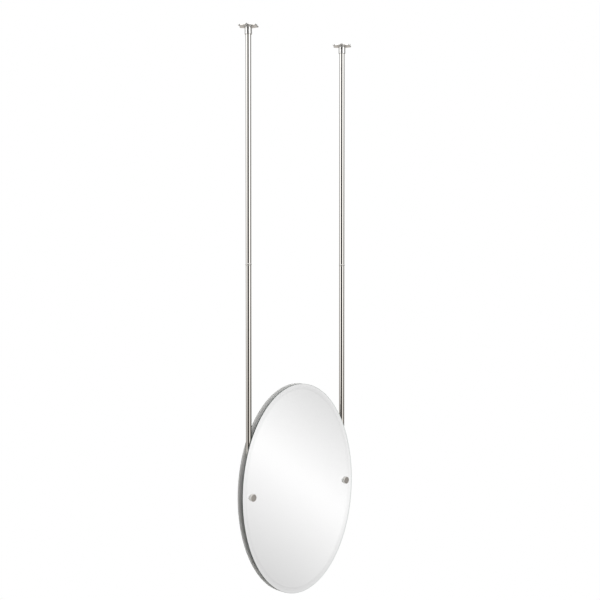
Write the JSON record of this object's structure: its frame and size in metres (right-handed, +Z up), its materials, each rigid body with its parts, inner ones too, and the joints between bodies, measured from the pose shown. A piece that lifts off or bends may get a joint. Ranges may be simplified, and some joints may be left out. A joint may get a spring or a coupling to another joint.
{
  "type": "ceiling-hung mirror",
  "caption": "Frameless oval bevelled mirror hung from the ceiling on two round metal tubes, with lobed ceiling covers and round caps on the glass.",
  "frame": {"origin": "on the ceiling plane, at the centre of the four screw holes of the two ceiling brackets, midway between the tubes", "axes": "+Z up into the ceiling, -Y the way the glass faces, +X to the right of a person who looks at the glass"},
  "size_m": [0.533, 0.0712, 1.956],
  "materials": {
    "mirror_glass": "polished",
    "back_paint": "satin",
    "polished_nickel": "polished",
    "turned_brass": "turned",
    "zinc_steel": "zinc plated",
    "black_steel": "black oxide",
    "white_nylon": "moulded",
    "black_rubber": "matt"
  },
  "bodies": {
    "hanger": {"mirror_glass": "mirror_glass", "back_panel": "back_paint", "spacer_pads": "black_rubber", "left_ceiling_bracket": "zinc_steel", "right_ceiling_bracket": "zinc_steel", "left_ceiling_stud": "zinc_steel", "right_ceiling_stud": "zinc_steel", "left_upper_tube": "polished_nickel", "right_upper_tube": "polished_nickel", "left_upper_tube_top_insert": "turned_brass", "right_upper_tube_top_insert": "turned_brass", "left_upper_tube_bottom_insert": "turned_brass", "right_upper_tube_bottom_insert": "turned_brass", "left_joint_ring": "polished_nickel", "right_joint_ring": "polished_nickel", "left_joint_stud": "zinc_steel", "right_joint_stud": "zinc_steel", "left_lower_tube_insert": "turned_brass", "right_lower_tube_insert": "turned_brass", "left_lower_tube": "polished_nickel", "right_lower_tube": "polished_nickel", "left_end_plug": "turned_brass", "right_end_plug": "turned_brass", "left_glass_sleeve": "white_nylon", "right_glass_sleeve": "white_nylon", "left_front_saddle": "white_nylon", "right_front_saddle": "white_nylon", "left_back_saddle": "white_nylon", "right_back_saddle": "white_nylon", "left_back_washer": "zinc_steel", "right_back_washer": "zinc_steel", "left_back_screw": "zinc_steel", "right_back_screw": "zinc_steel"},
    "left_cover": {"left_escutcheon": "polished_nickel", "left_set_screw": "black_steel"},
    "left_washer": {"left_cap_washer": "white_nylon"},
    "left_knob": {"left_cap": "polished_nickel", "left_cap_stud": "zinc_steel"},
    "right_cover": {"right_escutcheon": "polished_nickel", "right_set_screw": "black_steel"},
    "right_washer": {"right_cap_washer": "white_nylon"},
    "right_knob": {"right_cap": "polished_nickel", "right_cap_stud": "zinc_steel"}
  },
  "joints": [
    {"name": "left_escutcheon_slide", "type": "slide", "parent": "hanger", "child": "left_cover", "axis": [0, 0, -1], "range_m": [0, 0.765]},
    {"name": "left_cap_travel", "type": "slide", "parent": "hanger", "child": "left_washer", "axis": [0, -1, 0], "range_m": [0, 0.0075]},
    {"name": "left_cap_turn", "type": "hinge", "parent": "left_washer", "child": "left_knob", "pos_m": [-0.2265, -0.02063, -1.5875], "axis": [0, -1, 0], "range_deg": [0, 2700]},
    {"name": "right_escutcheon_slide", "type": "slide", "parent": "hanger", "child": "right_cover", "axis": [0, 0, -1], "range_m": [0, 0.765]},
    {"name": "right_cap_travel", "type": "slide", "parent": "hanger", "child": "right_washer", "axis": [0, -1, 0], "range_m": [0, 0.0075]},
    {"name": "right_cap_turn", "type": "hinge", "parent": "right_washer", "child": "right_knob", "pos_m": [0.2265, -0.02063, -1.5875], "axis": [0, -1, 0], "range_deg": [0, 2700]}
  ],
  "couplings": [
    {"joint": "left_cap_travel", "follows": "left_cap_turn", "m_per_rad": 0.00015915},
    {"joint": "right_cap_travel", "follows": "right_cap_turn", "m_per_rad": 0.00015915}
  ]
}
